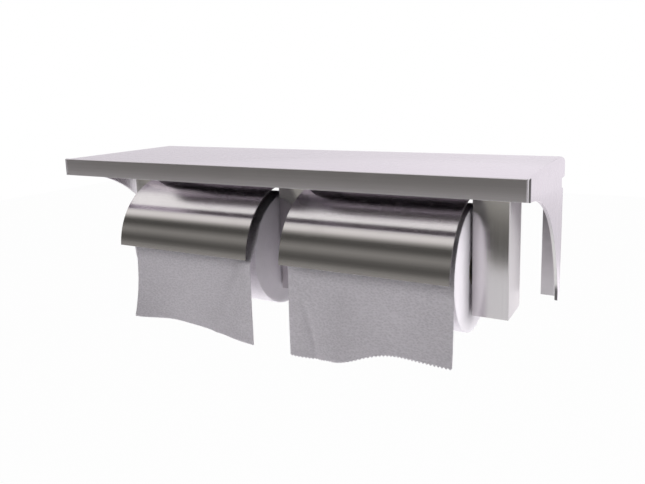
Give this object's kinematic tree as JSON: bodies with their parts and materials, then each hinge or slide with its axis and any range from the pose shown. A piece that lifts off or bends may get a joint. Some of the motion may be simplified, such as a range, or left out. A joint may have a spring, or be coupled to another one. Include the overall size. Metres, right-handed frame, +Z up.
{
  "type": "double roll toilet paper dispenser",
  "caption": "Wall-hung toilet paper dispenser of bent steel sheet: posts and curved hoods hang under a shelf, and sprung spindles carry the paper rolls between the posts.",
  "frame": {"origin": "middle of the wall rail's back face, on the wall", "axes": "+X along the shelf to the right as seen from the front, +Y into the wall, +Z up"},
  "size_m": [0.35, 0.1105, 0.1276],
  "materials": {
    "shelf_steel": "fine brushed along the width, satin",
    "post_steel": "fine brushed, satin",
    "hood_steel": "fine brushed along the width, brighter than the posts",
    "rail_steel": "dull rolled sheet",
    "screw_steel": "turned, satin",
    "spring_steel": "drawn wire",
    "spindle_plastic": "moulded, dull",
    "bush_plastic": "moulded nylon",
    "paper": null,
    "card": "plain brown card tube"
  },
  "bodies": {
    "frame": {"shelf": "shelf_steel", "left_post": "post_steel", "middle_post": "post_steel", "right_post": "post_steel", "left_post_cover": "post_steel", "middle_post_cover": "post_steel", "right_post_cover": "post_steel", "left_cover_upper_screw": "screw_steel", "left_cover_lower_screw": "screw_steel", "middle_cover_upper_screw": "screw_steel", "middle_cover_lower_screw": "screw_steel", "right_cover_upper_screw": "screw_steel", "right_cover_lower_screw": "screw_steel", "left_post_front_nut": "screw_steel", "left_post_rear_nut": "screw_steel", "middle_post_front_nut": "screw_steel", "middle_post_rear_nut": "screw_steel", "right_post_front_nut": "screw_steel", "right_post_rear_nut": "screw_steel", "left_hood": "hood_steel", "right_hood": "hood_steel", "left_hood_left_nut": "screw_steel", "left_hood_right_nut": "screw_steel", "right_hood_left_nut": "screw_steel", "right_hood_right_nut": "screw_steel", "wall_rail": "rail_steel", "left_locking_screw": "screw_steel", "right_locking_screw": "screw_steel", "left_spindle_left_bush": "bush_plastic", "left_spindle_right_bush": "bush_plastic", "right_spindle_left_bush": "bush_plastic", "right_spindle_right_bush": "bush_plastic", "left_hanging_paper": "paper", "right_hanging_paper": "paper"},
    "left_spindle": {"left_spindle_tube": "spindle_plastic", "left_spindle_spring": "spring_steel"},
    "left_plunger": {"left_spindle_plunger": "spindle_plastic"},
    "left_roll": {"left_paper_roll": "paper", "left_roll_core": "card"},
    "right_spindle": {"right_spindle_tube": "spindle_plastic", "right_spindle_spring": "spring_steel"},
    "right_plunger": {"right_spindle_plunger": "spindle_plastic"},
    "right_roll": {"right_paper_roll": "paper", "right_roll_core": "card"}
  },
  "joints": [
    {"name": "left_spindle_spin", "type": "hinge", "parent": "frame", "child": "left_spindle", "pos_m": [-0.07155, -0.05, -0.04345], "axis": [1, 0, 0], "continuous": true},
    {"name": "left_plunger_slide", "type": "slide", "parent": "left_spindle", "child": "left_plunger", "axis": [-1, 0, 0], "range_m": [0, 0.009], "stiffness_N_per_m": 300, "springref_m": -0.01, "deforming": ["left_spindle_spring"]},
    {"name": "left_roll_spin", "type": "hinge", "parent": "frame", "child": "left_roll", "pos_m": [-0.07155, -0.05, -0.04615], "axis": [1, 0, 0], "continuous": true},
    {"name": "right_spindle_spin", "type": "hinge", "parent": "frame", "child": "right_spindle", "pos_m": [0.07155, -0.05, -0.04345], "axis": [1, 0, 0], "continuous": true},
    {"name": "right_plunger_slide", "type": "slide", "parent": "right_spindle", "child": "right_plunger", "axis": [-1, 0, 0], "range_m": [0, 0.009], "stiffness_N_per_m": 300, "springref_m": -0.01, "deforming": ["right_spindle_spring"]},
    {"name": "right_roll_spin", "type": "hinge", "parent": "frame", "child": "right_roll", "pos_m": [0.07155, -0.05, -0.04615], "axis": [1, 0, 0], "continuous": true}
  ]
}
